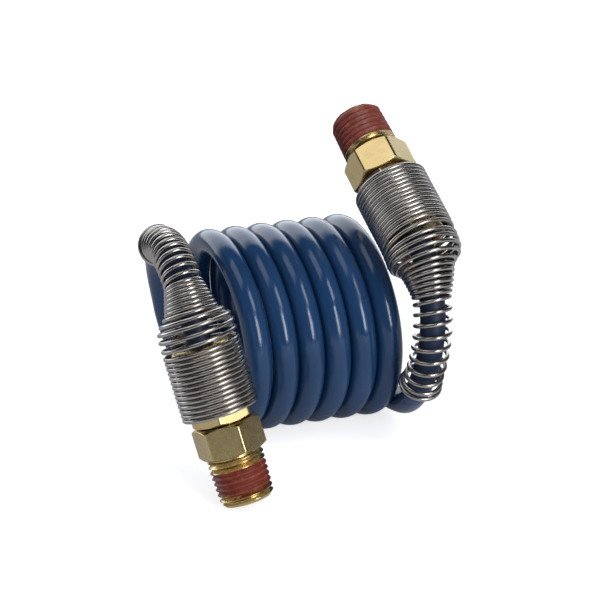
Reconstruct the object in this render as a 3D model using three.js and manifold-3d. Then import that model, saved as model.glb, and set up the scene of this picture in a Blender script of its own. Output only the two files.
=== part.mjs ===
// Coiled hose for a pressure gauge: a nylon tube wound into a round coil, and on each of
// its two tails a brass male connector, a compression nut with its ferrule, and a spring
// guard of steel wire. Millimetres, +Z up. The coil lies on its side along X, the left
// connector stands on the rim of its thread, and the right guard lies back over the coil.
import * as THREE from 'three';
import { mergeVertices } from 'three/addons/utils/BufferGeometryUtils.js';
import Module from 'manifold-3d';

const wasm = await Module();
wasm.setup();

// Driving dimensions

// Nylon tube
const TUBE_OD = 6.35;
const COIL_RADIUS = 22.94;        // to the middle of the tube
const COIL_PITCH = 6.81;
const COIL_FROM_DEG = -1125;      // turn angle where the left tail joins the coil
const COIL_TO_DEG = 930;          // turn angle where the right tail joins it
const COIL_LEAN_NEAR = 3.02;      // the near side of each turn sits this far to +X
const COIL_LEAN_TOP = -1.76;      // the top of each turn sits this far to -X

// Male connector: a 1/4 in taper pipe thread, a hexagon and a tube stub
const PIPE_MAJOR = 14.05;         // thread crests next to the hexagon
const PIPE_TAPER = 1 / 16;        // on the diameter
const PIPE_LENGTH = 12.2;
const PIPE_CHAMFER = 1.0;         // at the free end
const NECK = 0.9;                 // run-out groove against the hexagon
const BODY_FLATS = 15.0;
const BODY_LENGTH = 7.8;
const STUB_DIAMETER = 11.1;
const STUB_LENGTH = 8.5;
const FLOW_BORE = 4.8;
const SEAT_DEPTH = 6.5;           // the tube enters the stub this far

// Compression nut and ferrule
const NUT_FLATS = 14.3;
const NUT_LENGTH = 19.6;
const FERRULE_LENGTH = 5.5;
const FERRULE_OD = 9.4;
const FERRULE_NOSE = 1.2;         // how far the ferrule enters the stub's flared mouth
const FLARE_DEPTH = 3.0;
const FLARE_DIAMETER = 10.0;

// Spring guard
const WIRE = 1.05;
const TURN_GAP = 0.03;            // between turns that lie side by side
const GUARD_START = 2.1;          // the nut shows this much beyond the connector
const GRIP_TURNS = 14;            // on the nut
const LOOSE_TURNS = 3;            // as wide, but past the nut
const SHOULDER_TURNS = 1.2;
const SHOULDER_OD = 13.6;         // where the cone starts
const TAIL_OD = 9.85;
const FIRST_TURNS = 2;            // first open turns of the narrow part
const FIRST_PITCH = 2.4;
const END_TURNS = 1.5;            // the last turns flare
const END_PITCH = 2.4;
const END_OD = 11.2;
const TURN_BACK = 10;             // a turn lies square to the tube between this far back
const TURN_AHEAD = 4;             // and this far ahead, because it is stiffer than the tube

// Fits
const CLEAR = 0.3;                // between pieces that touch or seat
const SLIDE = 0.45;               // round the tube

// How the two ends differ: the springs are stretched by hand
const LEFT = {
  route: [
    [-31.1, -39.3, 20.6], [-32.3, -37.4, 26.2], [-33.5, -35.4, 31.8],
    [-34.7, -33.4, 37.4], [-35.8, -31.3, 43.0], [-36.5, -28.1, 48.2],
    [-36.9, -23.7, 52.3], [-37.1, -18.1, 54.6], [-37.0, -12.1, 55.1],
    [-36.8, -6.2, 54.0], [-36.5, -0.7, 51.5], [-35.8, 3.9, 47.8],
    [-34.7, 7.7, 43.2], [-33.5, 10.6, 38.0], [-32.2, 12.6, 32.5],
    [-31.0, 13.6, 26.6], [-29.5, 13.5, 20.8], [-27.8, 11.9, 15.2],
    [-25.9, 9.0, 10.3], [-23.9, 4.8, 6.5], [-21.8, -0.4, 4.4],
    [-20.0, -6.1, 4.1], [-18.6, -11.7, 6.0], [-17.9, -16.2, 9.9],
  ],
  gripPitch: 1.17, gapPitch: 2.3, loosePitch: 1.7, coneTurns: 5,
  tailTurns: 7, tailPitch: 2.8, bodyTurn: 39, nutTurn: 11,
};
const RIGHT = {
  route: [
    [20.6, -7.6, 65.3], [21.5, -12.8, 61.9], [22.4, -18.0, 58.6],
    [23.3, -23.1, 55.2], [23.9, -27.7, 51.1], [24.1, -31.0, 45.7],
    [24.0, -33.2, 39.9], [23.6, -34.4, 33.8], [23.0, -34.0, 27.6],
    [22.4, -32.1, 21.7], [22.1, -28.7, 16.5], [22.2, -24.2, 12.2],
    [22.5, -18.9, 8.9], [22.5, -13.0, 6.7], [22.1, -7.0, 5.4],
    [21.2, -0.8, 4.7], [19.9, 5.3, 4.9], [18.5, 11.2, 6.5],
    [17.1, 16.2, 9.7], [15.9, 19.9, 14.6],
  ],
  gripPitch: 1.13, gapPitch: 1.9, loosePitch: 1.1, coneTurns: 6,
  tailTurns: 6, tailPitch: 3.0, bodyTurn: 38, nutTurn: 14,
};

// Materials

const brass = () => new THREE.MeshStandardMaterial(
  { color: 0xb9a878, metalness: 1, roughness: 0.32 });
const steel = () => new THREE.MeshStandardMaterial(
  { color: 0x8d8a86, metalness: 1, roughness: 0.28 });
const nylon = () => new THREE.MeshStandardMaterial(
  { color: 0x204a78, metalness: 0, roughness: 0.22 });

// Helpers

const ROUND = 30;                 // facets round a turned piece
const part = new THREE.Group();

function add(name, geometry, material, parent = part) {
  const mesh = new THREE.Mesh(geometry, material);
  mesh.name = name;
  parent.add(mesh);
  return mesh;
}

function toSolid(geometry) {
  const plain = geometry.clone();
  plain.deleteAttribute('normal');
  plain.deleteAttribute('uv');
  const merged = mergeVertices(plain, 1e-5);
  const index = merged.index.array;
  return new wasm.Manifold(new wasm.Mesh({
    numProp: 3,
    vertProperties: new Float32Array(merged.attributes.position.array),
    triVerts: new Uint32Array(index),
  }));
}

function toGeometry(solid) {
  const mesh = solid.getMesh();
  const geometry = new THREE.BufferGeometry();
  geometry.setAttribute('position', new THREE.BufferAttribute(mesh.vertProperties, 3));
  geometry.setIndex(new THREE.BufferAttribute(mesh.triVerts, 1));
  geometry.computeVertexNormals();
  return geometry;
}

// A turned piece: [radius, height] pairs, anticlockwise seen with the axis on the left
function turned(profile, facets = ROUND) {
  const points = profile.map(([r, z]) => new THREE.Vector2(r, z));
  const geometry = new THREE.LatheGeometry(points, facets);
  geometry.rotateX(Math.PI / 2);
  return geometry;
}

// A hexagon bar from z0 to z1, across its flats
function hexBar(flats, z0, z1) {
  const corner = flats / Math.sqrt(3);
  const shape = new THREE.Shape(Array.from({ length: 6 }, (_, i) => new THREE.Vector2(
    corner * Math.cos(i * Math.PI / 3), corner * Math.sin(i * Math.PI / 3))));
  const bar = new THREE.ExtrudeGeometry(shape, { depth: z1 - z0, bevelEnabled: false });
  bar.translate(0, 0, z0);
  return bar;
}

// The turned blank that chamfers a hexagon's corners at both ends
function chamferBlank(flats, z0, z1, atStart = true, atEnd = true) {
  const corner = flats / Math.sqrt(3) + 0.2;
  const face = flats / 2 - 0.15;
  const drop = (corner - face) * Math.tan(Math.PI / 6);
  return turned([
    [0, z0], [atStart ? face : corner, z0], [corner, atStart ? z0 + drop : z0 + 0.01],
    [corner, atEnd ? z1 - drop : z1 - 0.01], [atEnd ? face : corner, z1], [0, z1],
  ], 36);
}

// Connection: built along +Z, with the joint face of hexagon and nut at z = 0

function connectorBody() {
  const end = -(BODY_LENGTH + PIPE_LENGTH);
  const crest = (z) => (PIPE_MAJOR + PIPE_TAPER * (z + BODY_LENGTH)) / 2;
  const neck = PIPE_MAJOR / 2 - 1.1;
  const seat = TUBE_OD / 2 + CLEAR;
  const seatFloor = STUB_LENGTH - SEAT_DEPTH;
  const shell = turned([
    [FLOW_BORE / 2, end],
    [crest(end) - PIPE_CHAMFER, end],
    [crest(end + PIPE_CHAMFER), end + PIPE_CHAMFER],
    [crest(-BODY_LENGTH - NECK), -BODY_LENGTH - NECK],
    [neck, -BODY_LENGTH - NECK + 0.3],
    [neck, -BODY_LENGTH / 2],
    [STUB_DIAMETER / 2 - 0.6, -BODY_LENGTH / 2],
    [STUB_DIAMETER / 2 - 0.6, 1.0],
    [STUB_DIAMETER / 2, 1.5],
    [STUB_DIAMETER / 2, STUB_LENGTH - 0.4],
    [STUB_DIAMETER / 2 - 0.4, STUB_LENGTH],
    [FLARE_DIAMETER / 2, STUB_LENGTH],
    [seat, STUB_LENGTH - FLARE_DEPTH],
    [seat, seatFloor],
    [FLOW_BORE / 2, seatFloor],
    [FLOW_BORE / 2, end],
  ]);
  const bar = toSolid(hexBar(BODY_FLATS, -BODY_LENGTH, 0))
    .intersect(toSolid(chamferBlank(BODY_FLATS, -BODY_LENGTH, 0)));
  const bore = toSolid(turned([
    [0, end - 1], [neck - 0.8, end - 1], [neck - 0.8, STUB_LENGTH], [0, STUB_LENGTH],
  ]));
  return toGeometry(toSolid(shell).add(bar.subtract(bore)));
}

function compressionNut() {
  const bar = toSolid(hexBar(NUT_FLATS, CLEAR, NUT_LENGTH))
    .intersect(toSolid(chamferBlank(NUT_FLATS, CLEAR, NUT_LENGTH)));
  const chamber = STUB_DIAMETER / 2 + CLEAR;
  const hole = TUBE_OD / 2 + SLIDE;
  const bevel = STUB_LENGTH - FERRULE_NOSE + FERRULE_LENGTH - 0.7;
  const cone = bevel + CLEAR * Math.SQRT2 - (chamber - FERRULE_OD / 2);
  const cut = toSolid(turned([
    [0, 0], [chamber, 0], [chamber, cone], [hole, cone + chamber - hole],
    [hole, NUT_LENGTH - 1.2], [hole + 1.4, NUT_LENGTH + 0.2], [0, NUT_LENGTH + 0.2],
  ]));
  return toGeometry(bar.subtract(cut));
}

function ferrule() {
  const inner = TUBE_OD / 2 + CLEAR;
  const nose = STUB_LENGTH - FERRULE_NOSE;
  const back = nose + FERRULE_LENGTH;
  const slope = (FLARE_DIAMETER / 2 - inner) / FLARE_DEPTH;
  const away = CLEAR * Math.sqrt(1 + slope * slope);
  const noseRadius = FLARE_DIAMETER / 2 - slope * FERRULE_NOSE - away;
  const full = FERRULE_OD / 2;
  return turned([
    [inner, nose], [noseRadius, nose], [full, nose + (full - noseRadius) / slope],
    [full, back - 0.7], [full - 0.7, back], [inner, back], [inner, nose],
  ], 24);
}

// Spring guard: one wire, wound round the tube's own route

class GuardWire extends THREE.Curve {
  constructor(route, firstNormal, end) {
    super();
    const middle = (outer) => (outer - WIRE) / 2;
    const grip = NUT_FLATS / Math.sqrt(3) + CLEAR + WIRE / 2;
    const close = WIRE + TURN_GAP;
    // [turns, pitch, winding radius at its end, wire steps to a turn]
    const runs = [
      [GRIP_TURNS, end.gripPitch, grip, 12],
      [1, end.gapPitch, grip, 12],
      [LOOSE_TURNS, end.loosePitch, grip, 12],
      [SHOULDER_TURNS, 0, middle(SHOULDER_OD), 10],
      [end.coneTurns, 0, middle(TAIL_OD), 9],
      [FIRST_TURNS, FIRST_PITCH, middle(TAIL_OD), 9],
      [end.tailTurns, end.tailPitch, middle(TAIL_OD), 9],
      [END_TURNS, END_PITCH, middle(END_OD), 10],
    ];
    // the planes that the turns lie in, with normals carried along without twist
    this.spacing = 0.2;
    const length = route.getLength();
    const count = Math.floor(length / this.spacing);
    const at = (along) => route.getPointAt(THREE.MathUtils.clamp(along / length, 0, 1));
    let normal = firstNormal.clone();
    this.planes = Array.from({ length: count }, (_, i) => {
      const along = i * this.spacing;
      const axis = at(along + TURN_AHEAD).sub(at(along - TURN_BACK)).normalize();
      normal = normal.clone().addScaledVector(axis, -normal.dot(axis)).normalize();
      return { at: at(along), axis, normal };
    });
    const bend = (along) => {
      const i = THREE.MathUtils.clamp(Math.round(along / this.spacing), 2, count - 3);
      const turn = this.planes[i - 2].axis.angleTo(this.planes[i + 2].axis);
      return turn / (4 * this.spacing);
    };
    // one station for each step of the wire; inside a bend the turns come side by side
    let [along, radius, angle] = [GUARD_START + WIRE / 2, grip, 0];
    this.stations = [{ along, radius, angle }];
    for (const [turns, pitch, to, perTurn] of runs) {
      const steps = Math.round(turns * perTurn);
      const shrink = (to - radius) / steps;
      const least = Math.sqrt(close ** 2 - Math.min(close, Math.abs(shrink * perTurn)) ** 2);
      for (let i = 0; i < steps; i += 1) {
        along += Math.max(pitch, least / (1 - bend(along) * radius)) / perTurn;
        radius += shrink;
        angle += 2 * Math.PI / perTurn;
        this.stations.push({ along, radius, angle });
      }
    }
    this.steps = this.stations.length - 1;
  }

  place(t) {
    const i = Math.min(this.steps - 1, Math.floor(t * this.steps));
    const share = t * this.steps - i;
    const [from, to] = [this.stations[i], this.stations[i + 1]];
    const mix = (name) => from[name] + share * (to[name] - from[name]);
    const x = Math.min(mix('along') / this.spacing, this.planes.length - 1.001);
    const [a, b, f] = [this.planes[Math.floor(x)], this.planes[Math.floor(x) + 1], x % 1];
    const axis = a.axis.clone().lerp(b.axis, f).normalize();
    const normal = a.normal.clone().lerp(b.normal, f).normalize();
    const side = axis.clone().cross(normal);
    const out = normal.multiplyScalar(Math.cos(mix('angle')))
      .addScaledVector(side, Math.sin(mix('angle')));
    return { middle: a.at.clone().lerp(b.at, f), out, radius: mix('radius') };
  }

  getPoint(t, target = new THREE.Vector3()) {
    const { middle, out, radius } = this.place(t);
    return target.copy(middle).addScaledVector(out, radius);
  }

  getUtoTmapping(u) {
    return u;                     // steps go by turn angle, so turns line up
  }

  computeFrenetFrames(segments) {
    const frames = { tangents: [], normals: [], binormals: [] };
    for (let i = 0; i <= segments; i += 1) {
      const tangent = this.getTangent(i / segments);
      const out = this.place(i / segments).out;
      out.addScaledVector(tangent, -out.dot(tangent)).normalize();
      frames.tangents.push(tangent);
      frames.normals.push(out);
      frames.binormals.push(tangent.clone().cross(out));
    }
    return frames;
  }
}

function section(diameter, sides) {
  return new THREE.Shape(Array.from({ length: sides }, (_, i) => new THREE.Vector2(
    diameter / 2 * Math.cos(i * 2 * Math.PI / sides),
    diameter / 2 * Math.sin(i * 2 * Math.PI / sides))));
}

function sweep(curve, diameter, sides, steps) {
  return new THREE.ExtrudeGeometry(section(diameter, sides),
    { extrudePath: curve, steps, bevelEnabled: false });
}

// One end: connector, nut, ferrule, guard and the tube's tail

function buildEnd(side, end) {
  const route = end.route.map((p) => new THREE.Vector3(...p));
  const aim = route[3].clone().sub(route[0]).normalize();
  const place = new THREE.Group();
  place.position.copy(route[0]);
  place.quaternion.setFromUnitVectors(new THREE.Vector3(0, 0, 1), aim);
  part.add(place);

  const body = add(`${side}_connector`, connectorBody(), brass(), place);
  body.rotation.z = THREE.MathUtils.degToRad(end.bodyTurn);
  const nut = add(`${side}_nut`, compressionNut(), brass(), place);
  nut.rotation.z = THREE.MathUtils.degToRad(end.nutTurn);
  add(`${side}_ferrule`, ferrule(), brass(), place);

  const middle = new THREE.CatmullRomCurve3(route, false, 'centripetal');
  middle.arcLengthDivisions = 1200;
  const nutCorner = new THREE.Vector3(Math.cos(nut.rotation.z), Math.sin(nut.rotation.z), 0)
    .applyQuaternion(place.quaternion);
  const wire = new GuardWire(middle, nutCorner, end);
  add(`${side}_spring_guard`, sweep(wire, WIRE, 6, wire.steps), steel());

  const bottom = aim.clone().multiplyScalar(STUB_LENGTH - SEAT_DEPTH + CLEAR).add(route[0]);
  const tube = new THREE.CatmullRomCurve3([bottom, ...route.slice(1)], false, 'centripetal');
  add(`${side}_hose_tail`, sweep(tube, TUBE_OD, 10, end.route.length + 3), nylon());
  return [`${side}_connector`, `${side}_nut`, `${side}_ferrule`, `${side}_spring_guard`];
}

// Coil: the turns lie side by side, so together they are one sheared ring

function coil() {
  const from = COIL_PITCH * COIL_FROM_DEG / 360 + TUBE_OD / 2 + CLEAR;
  const to = COIL_PITCH * COIL_TO_DEG / 360 - TUBE_OD / 2 - CLEAR;
  const inside = COIL_RADIUS - TUBE_OD / 2;
  const outside = COIL_RADIUS + TUBE_OD / 2;
  const ring = new THREE.LatheGeometry([
    [inside, from], [outside, from], [outside, to], [inside, to], [inside, from],
  ].map(([r, x]) => new THREE.Vector2(r, x)), 40);
  ring.rotateZ(-Math.PI / 2);
  // each turn leans: its near side goes to +X and its top to -X
  ring.applyMatrix4(new THREE.Matrix4().set(
    1, -COIL_LEAN_NEAR / COIL_RADIUS, COIL_LEAN_TOP / COIL_RADIUS, 0,
    0, 1, 0, 0,
    0, 0, 1, 0,
    0, 0, 0, 1));
  ring.translate(0, 0, outside);
  return ring;
}

const rigid = [...buildEnd('left', LEFT), ...buildEnd('right', RIGHT)];
add('hose_coil', coil(), nylon());

// The origin is on the floor, under the middle of the metal pieces
part.updateMatrixWorld(true);
const box = new THREE.Box3();
rigid.forEach((name) => box.expandByObject(part.getObjectByName(name), true));
const centre = box.getCenter(new THREE.Vector3());
part.position.set(-centre.x, -centre.y, -box.min.z);
part.updateMatrixWorld(true);

export default part;
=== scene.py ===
import math

import bmesh
import bpy
import numpy as np
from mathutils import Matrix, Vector, noise


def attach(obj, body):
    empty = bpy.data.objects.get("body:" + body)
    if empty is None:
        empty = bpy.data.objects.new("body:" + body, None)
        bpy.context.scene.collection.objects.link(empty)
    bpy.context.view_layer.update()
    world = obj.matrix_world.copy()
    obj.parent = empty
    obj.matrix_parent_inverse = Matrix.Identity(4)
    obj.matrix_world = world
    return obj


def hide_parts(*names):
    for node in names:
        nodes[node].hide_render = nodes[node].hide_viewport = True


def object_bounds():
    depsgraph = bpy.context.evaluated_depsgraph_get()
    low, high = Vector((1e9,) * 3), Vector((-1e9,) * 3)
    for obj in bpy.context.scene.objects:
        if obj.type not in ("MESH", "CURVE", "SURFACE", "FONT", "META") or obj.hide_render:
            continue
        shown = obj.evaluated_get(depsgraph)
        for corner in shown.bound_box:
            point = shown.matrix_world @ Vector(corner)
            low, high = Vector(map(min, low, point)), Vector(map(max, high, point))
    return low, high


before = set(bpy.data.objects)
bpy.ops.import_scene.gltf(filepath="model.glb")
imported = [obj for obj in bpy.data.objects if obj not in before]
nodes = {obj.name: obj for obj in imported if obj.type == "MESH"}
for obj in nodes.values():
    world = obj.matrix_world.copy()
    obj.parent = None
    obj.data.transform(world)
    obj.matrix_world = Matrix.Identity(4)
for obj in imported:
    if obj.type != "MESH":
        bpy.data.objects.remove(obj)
cad_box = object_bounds()

MM = 0.001
OFFSET = np.array([5.9569, 19.8122, 0.0369])   # the coil's floor point in the row frame

# Sizes, as in the solids
TUBE_OD = 6.35
HOSE_LENGTH = 1.08                  # metres
COIL_RADIUS = 22.94
COIL_PITCH = 6.81
COIL_FROM, COIL_TO = -1125, 930
LEAN_NEAR, LEAN_TOP = 3.02, -1.76

PIPE_MAJOR, PIPE_TAPER, PIPE_LENGTH, PIPE_CHAMFER = 14.05, 1 / 16, 12.2, 1.0
THREAD_PITCH, THREAD_DEPTH = 1.411, 0.95
NECK = 0.9
BODY_FLATS, BODY_LENGTH = 15.0, 7.8
STUB_DIAMETER, STUB_LENGTH = 11.1, 8.5
FLOW_BORE, SEAT_DEPTH = 4.8, 6.5
NUT_FLATS, NUT_LENGTH = 14.3, 19.6
NUT_CHAMBER_END = 11.374            # where the chamber starts to narrow towards the hole
CLEAR, SLIDE = 0.3, 0.45

WIRE = 1.08
GRIP_OD = 2 * (NUT_FLATS / math.sqrt(3) + CLEAR + WIRE)
TAIL_OD = 9.85
TURN_AHEAD = 4
STEPS_PER_TURN = 40

LEFT = dict(
    route=[
        [-31.1, -39.3, 20.6], [-32.3, -37.4, 26.2], [-33.5, -35.4, 31.8],
        [-34.7, -33.4, 37.4], [-35.8, -31.3, 43.0], [-36.5, -28.1, 48.2],
        [-36.9, -23.7, 52.3], [-37.1, -18.1, 54.6], [-37.0, -12.1, 55.1],
        [-36.8, -6.2, 54.0], [-36.5, -0.7, 51.5], [-35.8, 3.9, 47.8],
        [-34.7, 7.7, 43.2], [-33.5, 10.6, 38.0], [-32.2, 12.6, 32.5],
        [-31.0, 13.6, 26.6], [-29.5, 13.5, 20.8], [-27.8, 11.9, 15.2],
        [-25.9, 9.0, 10.3], [-23.9, 4.8, 6.5], [-21.8, -0.4, 4.4],
        [-20.0, -6.1, 4.1], [-18.6, -11.7, 6.0], [-17.9, -16.2, 9.9],
    ],
    # the guard's runs of turns: how many, their pitch, and the outer diameter they reach
    guard_start=2.5, turn_back=10,
    runs=[(13, 1.185, GRIP_OD), (1, 1.25, GRIP_OD), (1, 2.45, GRIP_OD), (1, 1.9, GRIP_OD),
          (1, 1.7, 18.4), (1, 1.45, 15.8), (1, 1.25, 13.4), (7, 0.94, 9.9),
          (6, 2.0, TAIL_OD), (2, 2.3, TAIL_OD), (2.6, 2.45, TAIL_OD), (1.2, 2.2, 11.2)],
    body_turn=39, nut_turn=11, sealant=(-17.1, -10.9), seed=3.0,
)
RIGHT = dict(
    route=[
        [20.6, -7.6, 65.3], [21.5, -12.8, 61.9], [22.4, -18.0, 58.6],
        [23.3, -23.1, 55.2], [23.9, -27.7, 51.1], [24.1, -31.0, 45.7],
        [24.0, -33.2, 39.9], [23.6, -34.4, 33.8], [23.0, -34.0, 27.6],
        [22.4, -32.1, 21.7], [22.1, -28.7, 16.5], [22.2, -24.2, 12.2],
        [22.5, -18.9, 8.9], [22.5, -13.0, 6.7], [22.1, -7.0, 5.4],
        [21.2, -0.8, 4.7], [19.9, 5.3, 4.9], [18.5, 11.2, 6.5],
        [17.1, 16.2, 9.7], [15.9, 19.9, 14.6],
    ],
    guard_start=2.45, turn_back=9,
    runs=[(13, 1.183, GRIP_OD), (1, 1.4, GRIP_OD), (1, 2.15, GRIP_OD), (2, 1.3, GRIP_OD),
          (1, 1.3, 18.3), (1, 1.2, 15.7), (1, 1.12, 13.9), (6, 1.12, 9.9),
          (2, 2.65, TAIL_OD), (5, 3.0, TAIL_OD), (1, 2.6, 10.3), (1, 1.8, 10.9),
          (0.7, 1.2, 11.2)],
    body_turn=38, nut_turn=14, sealant=(-19.4, -10.1), seed=11.0,
)


# Curves

def spline(points, step=None):
    """The centripetal Catmull-Rom curve through the points, sampled every step mm."""
    p = np.array(points, float)
    p = np.vstack([2 * p[0] - p[1], p, 2 * p[-1] - p[-2]])
    out = []
    for i in range(1, len(p) - 2):
        a, b, c, d = p[i - 1:i + 3]
        d0, d1, d2 = (np.linalg.norm(v) ** 0.5 for v in (a - b, b - c, c - d))
        t1 = ((b - a) / d0 - (c - a) / (d0 + d1) + (c - b) / d1) * d1
        t2 = ((c - b) / d1 - (d - b) / (d1 + d2) + (d - c) / d2) * d1
        w = np.linspace(0, 1, 80, endpoint=i == len(p) - 3)[:, None]
        out.append(b + t1 * w + (-3 * b + 3 * c - 2 * t1 - t2) * w ** 2
                   + (2 * b - 2 * c + t1 + t2) * w ** 3)
    line = np.vstack(out)
    return respace(line, step)


def respace(line, step):
    s = np.r_[0, np.cumsum(np.linalg.norm(np.diff(line, axis=0), axis=1))]
    n = max(2, int(round(s[-1] / step)) + 1)
    at = np.linspace(0, s[-1], n)
    return np.stack([np.interp(at, s, line[:, k]) for k in range(3)], 1)


def unit(v):
    return v / np.linalg.norm(v, axis=-1, keepdims=True)


def tangents(line):
    return unit(np.gradient(line, axis=0))


def carried(axes, first):
    """Normals square to the axes, carried along without twist."""
    n = np.array(first, float)
    out = np.empty_like(axes)
    for i, t in enumerate(axes):
        n = n - n.dot(t) * t
        n /= np.linalg.norm(n)
        out[i] = n
    return out


# Meshes

def mesh_object(name, verts, faces, uvs=None, sharp=None):
    mesh = bpy.data.meshes.new(name)
    mesh.from_pydata([tuple(v) for v in np.asarray(verts) * MM], [], faces)
    mesh.validate()
    if uvs is not None:
        layer = mesh.uv_layers.new(name="along")
        loops = np.empty(len(mesh.loops), int)
        mesh.loops.foreach_get("vertex_index", loops)
        layer.data.foreach_set("uv", np.asarray(uvs)[loops].ravel())
    mesh.polygons.foreach_set("use_smooth", [True] * len(mesh.polygons))
    if sharp is not None:
        mesh.set_sharp_from_angle(angle=math.radians(sharp))
    obj = bpy.data.objects.new(name, mesh)
    bpy.context.scene.collection.objects.link(obj)
    return obj


def sweep(name, line, out, radius, sides, widen=None):
    """A round rod or wire along line, its first side towards out, with softened ends.
    widen(s) is how much broader along X it is at s mm from its start."""
    t = tangents(line)
    out = unit(out - np.sum(out * t, 1)[:, None] * t)
    side = np.cross(t, out)
    around = np.arange(sides) * 2 * np.pi / sides
    s = np.r_[0, np.cumsum(np.linalg.norm(np.diff(line, axis=0), axis=1))]
    rings, along = [], []

    def ring(i, shift, share):
        c = line[i] + t[i] * shift
        round_it = radius * share * (np.cos(around)[:, None] * out[i]
                                     + np.sin(around)[:, None] * side[i])
        if widen is not None:
            round_it[:, 0] *= widen(s[i])
        rings.append(c + round_it)
        along.append(s[i] + shift)

    soft = radius * 0.16
    ring(0, 0, 0.84)
    ring(0, soft, 1.0)
    for i in range(1, len(line) - 1):
        ring(i, 0, 1.0)
    ring(len(line) - 1, -soft, 1.0)
    ring(len(line) - 1, 0, 0.84)
    n = len(rings)
    verts = np.vstack(rings)
    uvs = np.stack([np.repeat(along, sides) * MM,
                    np.tile(around / (2 * np.pi), n)], 1)
    faces = []
    for i in range(n - 1):
        for j in range(sides):
            k = (j + 1) % sides
            faces.append((i * sides + j, i * sides + k, (i + 1) * sides + k, (i + 1) * sides + j))
    faces.append(tuple(range(sides))[::-1])
    faces.append(tuple(range((n - 1) * sides, n * sides)))
    return mesh_object(name, verts, faces, uvs, sharp=50)


def columns(name, angles, profiles, place, thread=None, sharp=34):
    """A closed turned piece: one loop of (radius, height) for each angle. A thread is
    (first row, row after its last, shift): its rows meet the first column shift further
    on, because they climb with the angle."""
    n, m = len(angles), len(profiles[0])
    prof = np.array(profiles)
    verts = np.empty((n, m, 3))
    verts[:, :, 0] = prof[:, :, 0] * np.cos(angles)[:, None]
    verts[:, :, 1] = prof[:, :, 0] * np.sin(angles)[:, None]
    verts[:, :, 2] = prof[:, :, 1]
    verts = verts.reshape(-1, 3) @ place[:3, :3].T + place[:3, 3]

    def seam(j):
        """The row of the first column that row j of the last one goes on into."""
        if thread and thread[0] <= j < thread[1]:
            return min(j + thread[2], thread[1] - 1)
        return j

    faces = []
    for i in range(n):
        for j in range(m):
            k = (j + 1) % m
            if i < n - 1:
                quad = (i * m + j, (i + 1) * m + j, (i + 1) * m + k, i * m + k)
            else:
                quad = (i * m + j, seam(j), seam(k), i * m + k)
            faces.append(quad)
    mesh = bpy.data.meshes.new(name)
    bm = bmesh.new()
    vs = [bm.verts.new(v * MM) for v in verts]
    for f in faces:
        ids = list(dict.fromkeys(f))
        if len(ids) > 2:
            try:
                bm.faces.new([vs[a] for a in ids])
            except ValueError:
                pass
    bmesh.ops.remove_doubles(bm, verts=bm.verts, dist=2e-7)
    bmesh.ops.dissolve_degenerate(bm, edges=bm.edges, dist=2e-7)
    loose = [v for v in bm.verts if not v.link_faces]
    bmesh.ops.delete(bm, geom=loose, context="VERTS")
    bmesh.ops.recalc_face_normals(bm, faces=bm.faces)
    bm.to_mesh(mesh)
    bm.free()
    mesh.polygons.foreach_set("use_smooth", [True] * len(mesh.polygons))
    mesh.set_sharp_from_angle(angle=math.radians(sharp))
    obj = bpy.data.objects.new(name, mesh)
    bpy.context.scene.collection.objects.link(obj)
    return obj


# Hexagons with rounded corners and turned chamfers

CORNER_ROUND = 0.75


def hex_radius(phi, flats):
    a = flats / 2
    c = (a - CORNER_ROUND) / math.cos(math.pi / 6)
    f = abs((phi + math.pi / 6) % (math.pi / 3) - math.pi / 6)
    edge = math.atan2(CORNER_ROUND * 0.5, c + CORNER_ROUND * math.cos(math.pi / 6))
    if f < edge:
        return c * math.cos(f) + math.sqrt(CORNER_ROUND ** 2 - (c * math.sin(f)) ** 2)
    return a / math.cos(math.pi / 6 - f)


def hex_angles(turn):
    """Columns: close together round the corners, further apart on the flats."""
    e = math.radians(2.75)
    offs = [e * k for k in (-1, -0.72, -0.4, 0, 0.4, 0.72, 1)]
    flat = np.linspace(e, math.pi / 3 - e, 18)[1:-1]
    one = offs + list(flat)
    return [turn + k * math.pi / 3 + o for k in range(6) for o in one]


def hex_rows(phi, flats, z0, z1):
    """(radius, height) up the side of a hexagon, from the middle of its lower face's rim."""
    r = hex_radius(phi, flats)
    face = flats / 2 - 0.15
    drop = (r - face) / math.sqrt(3)
    soft = min(0.07, drop / 2)
    low = [(face - 0.06, z0), (face + 0.05, z0 + 0.05), (r - soft * 1.5, z0 + drop - soft * 0.7),
           (r, z0 + drop + soft)]
    mid = [(r, z0 + (z1 - z0) * k / 4) for k in (1, 2, 3)]
    return low + mid + [(q, z1 + z0 - z) for q, z in reversed(low)]


# Pipe thread

def crest(z):
    return (PIPE_MAJOR + PIPE_TAPER * (z + BODY_LENGTH)) / 2


END = -(BODY_LENGTH + PIPE_LENGTH)
THREAD_TOP = -(BODY_LENGTH + NECK)


def thread_dip(phi, z, crest_flat=0.10, root_flat=0.08):
    """0 on the crest and 1 at the root of a right-handed thread."""
    x = (z / THREAD_PITCH - phi / (2 * math.pi)) % 1.0
    d = abs(x - 0.5)
    return min(1.0, max(0.0, (d - crest_flat / 2) / (0.5 - (crest_flat + root_flat) / 2)))


def thread_radius(phi, z, share=1.0):
    fade = min(1.0, max(0.0, (THREAD_TOP + 0.2 - z) / 1.6))     # the last thread runs out
    r = crest(z) - THREAD_DEPTH * share * thread_dip(phi, z) * (0.45 + 0.55 * fade)
    return min(r, crest(END) - PIPE_CHAMFER + (z - END))


ROWS_PER_TURN = 16


def placed(end):
    """The matrix from a connection's own frame to the row frame, in mm."""
    route = np.array(end["route"], float)
    aim = unit(route[3] - route[0])
    turn = Vector((0, 0, 1)).rotation_difference(Vector(aim)).to_matrix()
    m = np.eye(4)
    m[:3, :3] = np.array(turn)
    m[:3, 3] = route[0] + OFFSET
    return m


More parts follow.
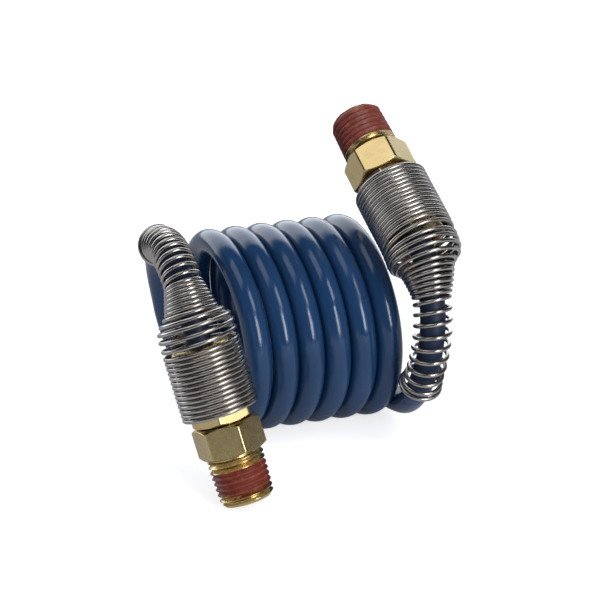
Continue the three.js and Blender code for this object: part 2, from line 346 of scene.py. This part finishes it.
def connector(name, end, place):
    """Hexagon, tapered outer thread, stub for the nut and the seat for the tube."""
    turn = math.radians(end["body_turn"])
    angles = hex_angles(turn)
    neck = PIPE_MAJOR / 2 - 1.1
    seat, bore, stub = TUBE_OD / 2 + CLEAR, FLOW_BORE / 2, STUB_DIAMETER / 2
    rise = THREAD_PITCH / ROWS_PER_TURN
    count = math.ceil((THREAD_TOP - END) / rise) + 2 * ROWS_PER_TURN + 1
    profiles = []
    for phi in angles:
        share = (phi - angles[0]) / (2 * math.pi)
        rows = [(bore + 0.35, END), (crest(END) - PIPE_CHAMFER - 0.9, END)]
        for j in range(count):
            z = END + rise * (j + ROWS_PER_TURN * share - ROWS_PER_TURN)
            z = min(max(z, END), THREAD_TOP)
            rows.append((thread_radius(phi, z), z))
        rows += [(neck, THREAD_TOP + 0.3), (neck, -BODY_LENGTH)]
        rows += hex_rows(phi - turn, BODY_FLATS, -BODY_LENGTH, 0)
        rows += [(stub - 0.6, 0), (stub - 0.6, 1.0), (stub, 1.5), (stub, STUB_LENGTH - 0.4),
                 (stub - 0.4, STUB_LENGTH), (5.0, STUB_LENGTH), (seat, STUB_LENGTH - 3.0),
                 (seat, STUB_LENGTH - SEAT_DEPTH), (bore, STUB_LENGTH - SEAT_DEPTH),
                 (bore, END + 0.35)]
        profiles.append(rows)
    return columns(name, angles, profiles, place, (2, 2 + count, ROWS_PER_TURN), sharp=30)


def nut(name, end, place):
    turn = math.radians(end["nut_turn"])
    angles = hex_angles(turn)
    chamber, hole = STUB_DIAMETER / 2 + CLEAR, TUBE_OD / 2 + SLIDE
    profiles = []
    for phi in angles:
        profiles.append(
            [(chamber, CLEAR)] + hex_rows(phi - turn, NUT_FLATS, CLEAR, NUT_LENGTH)
            + [(hole + 1.2, NUT_LENGTH), (hole, NUT_LENGTH - 1.2),
               (hole, NUT_CHAMBER_END + chamber - hole), (chamber, NUT_CHAMBER_END)])
    return columns(name, angles, profiles, place)


def sealant(name, end, place):
    """The coat on the threads. It thins out to nothing at both ragged ends."""
    z0, z1 = end["sealant"]
    n, m = 160, 130
    lo, hi = z0 - 0.9, z1 + 0.9
    lo = max(lo, END + 0.12)
    angles = [2 * math.pi * i / n for i in range(n)]
    profiles = []
    for phi in angles:
        cx, cy = math.cos(phi), math.sin(phi)
        wave = [0.42 * noise.noise(Vector((cx * 1.3, cy * 1.3, end["seed"] + k)))
                + 0.22 * noise.noise(Vector((cx * 5, cy * 5, end["seed"] + k))) for k in (0, 7)]
        rows = []
        for j in range(m):
            z = lo + (hi - lo) * j / (m - 1)
            inside = min((z - z0) / 0.4 + wave[0], (z1 - z) / 0.4 + wave[1]) + 0.5
            cover = min(1.0, max(0.0, inside))
            grain = noise.noise(Vector((cx * 9, cy * 9, z * 1.3 + end["seed"])))
            fine = noise.noise(Vector((cx * 40, cy * 40, z * 6 + end["seed"])))
            t = 0.05 + 0.05 * grain + 0.012 * fine
            r = thread_radius(phi, z, 0.64) - 0.02
            rows.append((r + t * cover - 0.32 * (1 - cover), z))
        core = crest(z0) - 1.6
        rows += [(core, hi), (core, (lo + hi) / 2), (core, lo)]
        profiles.append(rows)
    return columns(name, angles, profiles, place, sharp=60)


# Spring guards

def guard_line(end, place):
    """The wire's middle and its outward side. The turns are stiffer than the tube, so each
    lies square to the chord of its route from turn_back behind it to a little ahead."""
    route = spline(end["route"], 0.2) + OFFSET
    step = np.linalg.norm(route[1] - route[0])
    index = np.arange(len(route))
    back = np.clip(index - round(end["turn_back"] / step), 0, index[-1])
    ahead = np.clip(index + round(TURN_AHEAD / step), 0, index[-1])
    axes = unit(route[ahead] - route[back])
    corner = math.radians(end["nut_turn"])
    normals = carried(axes, place[:3, :3] @ [math.cos(corner), math.sin(corner), 0])
    along, radius, angle = end["guard_start"], (GRIP_OD - WIRE) / 2, 0.0
    stations = [(along, radius, angle)]
    for turns, pitch, outer in end["runs"]:
        steps = round(turns * STEPS_PER_TURN)
        change = ((outer - WIRE) / 2 - radius) / steps
        for _ in range(steps):
            along += pitch / STEPS_PER_TURN
            radius += change
            angle += 2 * math.pi / STEPS_PER_TURN
            stations.append((along, radius, angle))
    st = np.array(stations)
    st[:, 0] = np.convolve(np.pad(st[:, 0], 8, "reflect", reflect_type="odd"),
                           np.ones(17) / 17, "valid")      # the pitch changes gently
    x = st[:, 0] / step

    def mix(a):
        return np.stack([np.interp(x, index, a[:, k]) for k in range(3)], 1)

    at, axis, normal = mix(route), unit(mix(axes)), unit(mix(normals))
    side = np.cross(axis, normal)
    out = normal * np.cos(st[:, 2])[:, None] + side * np.sin(st[:, 2])[:, None]
    return at + out * st[:, 1][:, None], out


# Materials

def material(name):
    mat = bpy.data.materials.new(name)
    mat.use_nodes = True
    tree = mat.node_tree
    return mat, tree, tree.nodes["Principled BSDF"]


def node(tree, kind, **values):
    made = tree.nodes.new(kind)
    for key, value in values.items():
        if key in made.inputs:
            made.inputs[key].default_value = value
        else:
            setattr(made, key, value)
    return made


def scaled(tree, source, scale):
    m = tree.nodes.new("ShaderNodeMapping")
    m.inputs["Scale"].default_value = scale
    tree.links.new(source, m.inputs["Vector"])
    return m.outputs["Vector"]


def ramp(tree, source, stops):
    r = tree.nodes.new("ShaderNodeValToRGB")
    elements = r.color_ramp.elements
    while len(elements) < len(stops):
        elements.new(0.5)
    for e, (at, colour) in zip(elements, stops):
        e.position = at
        e.color = (*colour, 1)
    tree.links.new(source, r.inputs["Fac"])
    return r.outputs["Color"]


def level(tree, source, low, high, start=0.3, end=0.7):
    m = node(tree, "ShaderNodeMapRange")
    m.inputs["From Min"].default_value = start
    m.inputs["From Max"].default_value = end
    m.inputs["To Min"].default_value = low
    m.inputs["To Max"].default_value = high
    tree.links.new(source, m.inputs["Value"])
    return m.outputs["Result"]


def noise_fac(tree, vector, scale, detail=2.0, rough=0.5):
    n = node(tree, "ShaderNodeTexNoise", Scale=scale, Detail=detail, Roughness=rough)
    tree.links.new(vector, n.inputs["Vector"])
    return n.outputs["Fac"]


def bump(tree, height, strength, distance, normal=None):
    b = node(tree, "ShaderNodeBump", Strength=strength, Distance=distance)
    tree.links.new(height, b.inputs["Height"])
    if normal is not None:
        tree.links.new(normal, b.inputs["Normal"])
    return b.outputs["Normal"]


def hose_material(total):
    mat, tree, bsdf = material("nylon_blue")
    uv = node(tree, "ShaderNodeUVMap", uv_map="along").outputs["UV"]
    obj = node(tree, "ShaderNodeTexCoord").outputs["Object"]
    cloud = noise_fac(tree, obj, 55, 3)
    colour = ramp(tree, cloud, [(0.3, (0.0090, 0.041, 0.115)), (0.7, (0.0125, 0.053, 0.145))])
    # painted shade: the two ends of the hose inside the guards' turns are darkened, standing in
    # for the wire's shade; the same mask also makes them rougher
    split = node(tree, "ShaderNodeSeparateXYZ")
    tree.links.new(uv, split.inputs[0])
    from_left = level(tree, split.outputs["X"], 1.0, 0.0, 0.052, 0.060)
    to_right = level(tree, split.outputs["X"], 0.0, 1.0, total - 0.058, total - 0.050)
    guard_shade_mask = node(tree, "ShaderNodeMath", operation="ADD")
    tree.links.new(from_left, guard_shade_mask.inputs[0])
    tree.links.new(to_right, guard_shade_mask.inputs[1])
    # painted shade: the hose colour is multiplied by a grey tint where the guards' mask is on
    shade = node(tree, "ShaderNodeMix", data_type="RGBA", blend_type="MULTIPLY")
    tree.links.new(guard_shade_mask.outputs[0], shade.inputs[0])
    tree.links.new(colour, shade.inputs[6])
    shade.inputs[7].default_value = (0.34, 0.32, 0.36, 1)
    tree.links.new(shade.outputs[2], bsdf.inputs["Base Color"])
    die = noise_fac(tree, scaled(tree, uv, (12, 46, 1)), 1.0, 2)       # drawn along the hose
    wave = noise_fac(tree, obj, 320, 2)
    smear = noise_fac(tree, scaled(tree, uv, (90, 5, 1)), 1.0, 3)
    dull = node(tree, "ShaderNodeMath", operation="MULTIPLY_ADD")
    tree.links.new(guard_shade_mask.outputs[0], dull.inputs[0])
    dull.inputs[1].default_value = 0.35
    tree.links.new(level(tree, smear, 0.10, 0.24), dull.inputs[2])
    tree.links.new(dull.outputs[0], bsdf.inputs["Roughness"])
    n1 = bump(tree, die, 0.25, 0.00003)
    n2 = bump(tree, wave, 0.35, 0.00012, n1)
    tree.links.new(n2, bsdf.inputs["Normal"])
    bsdf.inputs["IOR"].default_value = 1.50
    return mat


def brass_material():
    mat, tree, bsdf = material("brass")
    obj = node(tree, "ShaderNodeTexCoord").outputs["Object"]
    tarnish = noise_fac(tree, obj, 130, 3, 0.5)
    colour = ramp(tree, tarnish, [(0.3, (0.61, 0.470, 0.220)), (0.7, (0.67, 0.53, 0.265))])
    tree.links.new(colour, bsdf.inputs["Base Color"])
    bsdf.inputs["Metallic"].default_value = 1.0
    spot = noise_fac(tree, obj, 600, 2)
    tree.links.new(level(tree, spot, 0.24, 0.30), bsdf.inputs["Roughness"])
    grain = noise_fac(tree, scaled(tree, obj, (1500, 1500, 420)), 1.0, 2)
    dents = noise_fac(tree, obj, 240, 1)
    n1 = bump(tree, grain, 0.03, 0.00002)
    n2 = bump(tree, dents, 0.05, 0.00008, n1)
    tree.links.new(n2, bsdf.inputs["Normal"])
    return mat


def steel_material():
    mat, tree, bsdf = material("spring_wire")
    uv = node(tree, "ShaderNodeUVMap", uv_map="along").outputs["UV"]
    obj = node(tree, "ShaderNodeTexCoord").outputs["Object"]
    tone = noise_fac(tree, obj, 260, 3)
    colour = ramp(tree, tone, [(0.3, (0.34, 0.315, 0.295)), (0.7, (0.50, 0.47, 0.44))])
    tree.links.new(colour, bsdf.inputs["Base Color"])
    bsdf.inputs["Metallic"].default_value = 1.0
    drawn = noise_fac(tree, scaled(tree, uv, (300, 22, 1)), 1.0, 3)
    tree.links.new(level(tree, drawn, 0.19, 0.30), bsdf.inputs["Roughness"])
    n1 = bump(tree, drawn, 0.30, 0.00002)
    tree.links.new(n1, bsdf.inputs["Normal"])
    return mat


def sealant_material():
    mat, tree, bsdf = material("thread_sealant")
    obj = node(tree, "ShaderNodeTexCoord").outputs["Object"]
    patch = noise_fac(tree, obj, 620, 4, 0.6)
    colour = ramp(tree, patch, [(0.28, (0.155, 0.023, 0.013)), (0.55, (0.220, 0.038, 0.020)),
                                (0.74, (0.320, 0.085, 0.052))])
    tree.links.new(colour, bsdf.inputs["Base Color"])
    tree.links.new(level(tree, noise_fac(tree, obj, 1500, 2), 0.34, 0.55),
                   bsdf.inputs["Roughness"])
    n1 = bump(tree, noise_fac(tree, obj, 2600, 3), 0.4, 0.00006)
    tree.links.new(n1, bsdf.inputs["Normal"])
    return mat


NYLON, BRASS, STEEL, SEAL = (
    hose_material(HOSE_LENGTH), brass_material(), steel_material(), sealant_material())


def dress(obj, mat, slot, *replaced):
    obj.data.materials.clear()
    obj.data.materials.append(mat)
    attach(obj, "root")
    if replaced:
        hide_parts(*replaced)
    return obj


# The pieces

pieces = {}
for side, end in (("left", LEFT), ("right", RIGHT)):
    place = placed(end)
    pieces[side] = [
        dress(connector(f"{side}_connector_body", end, place), BRASS, "brass",
              f"{side}_connector"),
        dress(nut(f"{side}_compression_nut", end, place), BRASS, "brass", f"{side}_nut"),
        dress(sealant(f"{side}_thread_sealant", end, place), SEAL, "brass"),
    ]
    wire, out = guard_line(end, place)
    pieces[side].append(
        dress(sweep(f"{side}_guard_wire", wire, out, WIRE / 2, 12), STEEL, "spring_wire",
              f"{side}_spring_guard"))
    ferrule = nodes[f"{side}_ferrule"]
    ferrule.data.materials.clear()
    ferrule.data.materials.append(BRASS)
    pieces[side].append(ferrule)

# The hose: from the left seat through its guard, six turns of coil, and into the right seat
turn_points = []
for deg in range(COIL_FROM + 20, COIL_TO - 10, 20):
    a = math.radians(deg)
    turn_points.append([
        COIL_PITCH * deg / 360 + LEAN_NEAR * math.cos(a) + LEAN_TOP * math.sin(a),
        -COIL_RADIUS * math.cos(a),
        COIL_RADIUS + TUBE_OD / 2 + COIL_RADIUS * math.sin(a),
    ])


def seat_point(end):
    route = np.array(end["route"], float)
    aim = unit(route[3] - route[0])
    return route[0] + aim * (STUB_LENGTH - SEAT_DEPTH + CLEAR)


middle = np.vstack([
    [seat_point(LEFT)], LEFT["route"][1:], turn_points, RIGHT["route"][:0:-1],
    [seat_point(RIGHT)]])
middle = spline(middle, 1.0) + OFFSET
length = float(np.sum(np.linalg.norm(np.diff(middle, axis=0), axis=1)))
LEFT_TAIL, RIGHT_TAIL, SETTLE = 135.0, 115.0, 20.0
OVAL = 0.04                        # a bent tube flattens: broader along the coil's axis


def coil_width(s):
    """The tube goes oval where it is wound into the coil."""
    begun = min(1.0, max(0.0, (s - LEFT_TAIL) / SETTLE))
    left = min(1.0, max(0.0, (length - RIGHT_TAIL - s) / SETTLE))
    return 1 + OVAL * begun * left


hose = sweep("hose", middle, carried(tangents(middle), (1, 0, 0)), TUBE_OD / 2, 28, coil_width)
dress(hose, NYLON, "hose", "hose_coil", "left_hose_tail", "right_hose_tail")

# Floor, backdrop and light

centre = (Vector(cad_box[0]) + Vector(cad_box[1])) / 2


def shade_stage():
    mat, tree, bsdf = material("studio_floor")
    bsdf.inputs["Base Color"].default_value = (0.80, 0.80, 0.83, 1)
    bsdf.inputs["Roughness"].default_value = 0.9
    bsdf.inputs["Specular IOR Level"].default_value = 0.1
    rays = node(tree, "ShaderNodeLightPath")
    glow = node(tree, "ShaderNodeEmission", Color=(1, 1, 1, 1))
    tree.links.new(level(tree, rays.outputs["Is Camera Ray"], 0.0, 0.70, 0.0, 1.0),
                   glow.inputs["Strength"])
    both = node(tree, "ShaderNodeAddShader")
    tree.links.new(bsdf.outputs[0], both.inputs[0])
    tree.links.new(glow.outputs[0], both.inputs[1])
    out = tree.nodes["Material Output"]
    tree.links.new(both.outputs[0], out.inputs["Surface"])
    return mat


bpy.ops.mesh.primitive_plane_add(size=4.0, location=(centre.x, centre.y, 0.0))
floor = bpy.context.object
floor.name = "studio_floor"
floor.data.materials.append(shade_stage())

world = bpy.data.worlds.new("studio")
bpy.context.scene.world = world
world.use_nodes = True
tree = world.node_tree
back = tree.nodes["Background"]
coords = node(tree, "ShaderNodeTexCoord").outputs["Generated"]
split = node(tree, "ShaderNodeSeparateXYZ")
tree.links.new(coords, split.inputs[0])
# Metal and gloss see the pale backdrop behind the object, and a dimmer room elsewhere.
# What lights the surfaces evenly is dimmer still.
behind = level(tree, split.outputs["Y"], 0.0, 1.0, 0.56, 0.70)
low = level(tree, split.outputs["Z"], 1.0, 0.0, 0.84, 0.92)
seen_far = node(tree, "ShaderNodeMath", operation="MULTIPLY")
tree.links.new(behind, seen_far.inputs[0])
tree.links.new(low, seen_far.inputs[1])
reflected = level(tree, seen_far.outputs[0], 0.05, 2.6, 0.0, 1.0)
rays = node(tree, "ShaderNodeLightPath")
mirror = node(tree, "ShaderNodeMix", data_type="FLOAT")
tree.links.new(rays.outputs["Is Glossy Ray"], mirror.inputs[0])
mirror.inputs[2].default_value = 0.34
tree.links.new(reflected, mirror.inputs[3])
whole = node(tree, "ShaderNodeMix", data_type="FLOAT")
tree.links.new(rays.outputs["Is Camera Ray"], whole.inputs[0])
tree.links.new(mirror.outputs[0], whole.inputs[2])
whole.inputs[3].default_value = 1.1
tree.links.new(whole.outputs[0], back.inputs["Strength"])
back.inputs["Color"].default_value = (0.92, 0.97, 1.04, 1)


def softbox(name, toward, distance, width, height, power, target=centre):
    """A lamp in that direction from the object, facing it."""
    lamp = bpy.data.lights.new(name, "AREA")
    lamp.shape = "RECTANGLE"
    lamp.size, lamp.size_y = width, height
    lamp.energy = power
    obj = bpy.data.objects.new(name, lamp)
    d = Vector(toward).normalized()
    obj.location = Vector(target) + d * distance
    obj.rotation_mode = "QUATERNION"
    obj.rotation_quaternion = (-d).to_track_quat("-Z", "Y")
    bpy.context.scene.collection.objects.link(obj)
    return obj


softbox("key", (0.27, -0.90, 0.33), 0.9, 0.26, 0.48, 3.6)
softbox("strip", (0.56, -0.80, 0.20), 0.9, 0.12, 0.34, 0.16)
softbox("upper", (0.33, -0.55, 0.77), 0.9, 0.30, 0.36, 1.4)
softbox("top_left", (-0.36, -0.05, 0.93), 0.9, 0.54, 0.54, 1.3)

# Camera, at the photograph's place

EYE, VIEW = np.array([-182.672, -579.176, 296.635]), (0.2763, 0.8741, -0.3995)
camera = bpy.data.cameras.new("camera")
camera.lens, camera.sensor_width = 156.0, 36.0
eye = bpy.data.objects.new("camera", camera)
eye.location = Vector((EYE + OFFSET) * MM)
eye.rotation_mode = "QUATERNION"
eye.rotation_quaternion = Vector(VIEW).to_track_quat("-Z", "Y")
bpy.context.scene.collection.objects.link(eye)
bpy.context.scene.camera = eye
camera.clip_start, camera.clip_end = 0.01, 20.0
bpy.context.scene.view_settings.view_transform = "Standard"
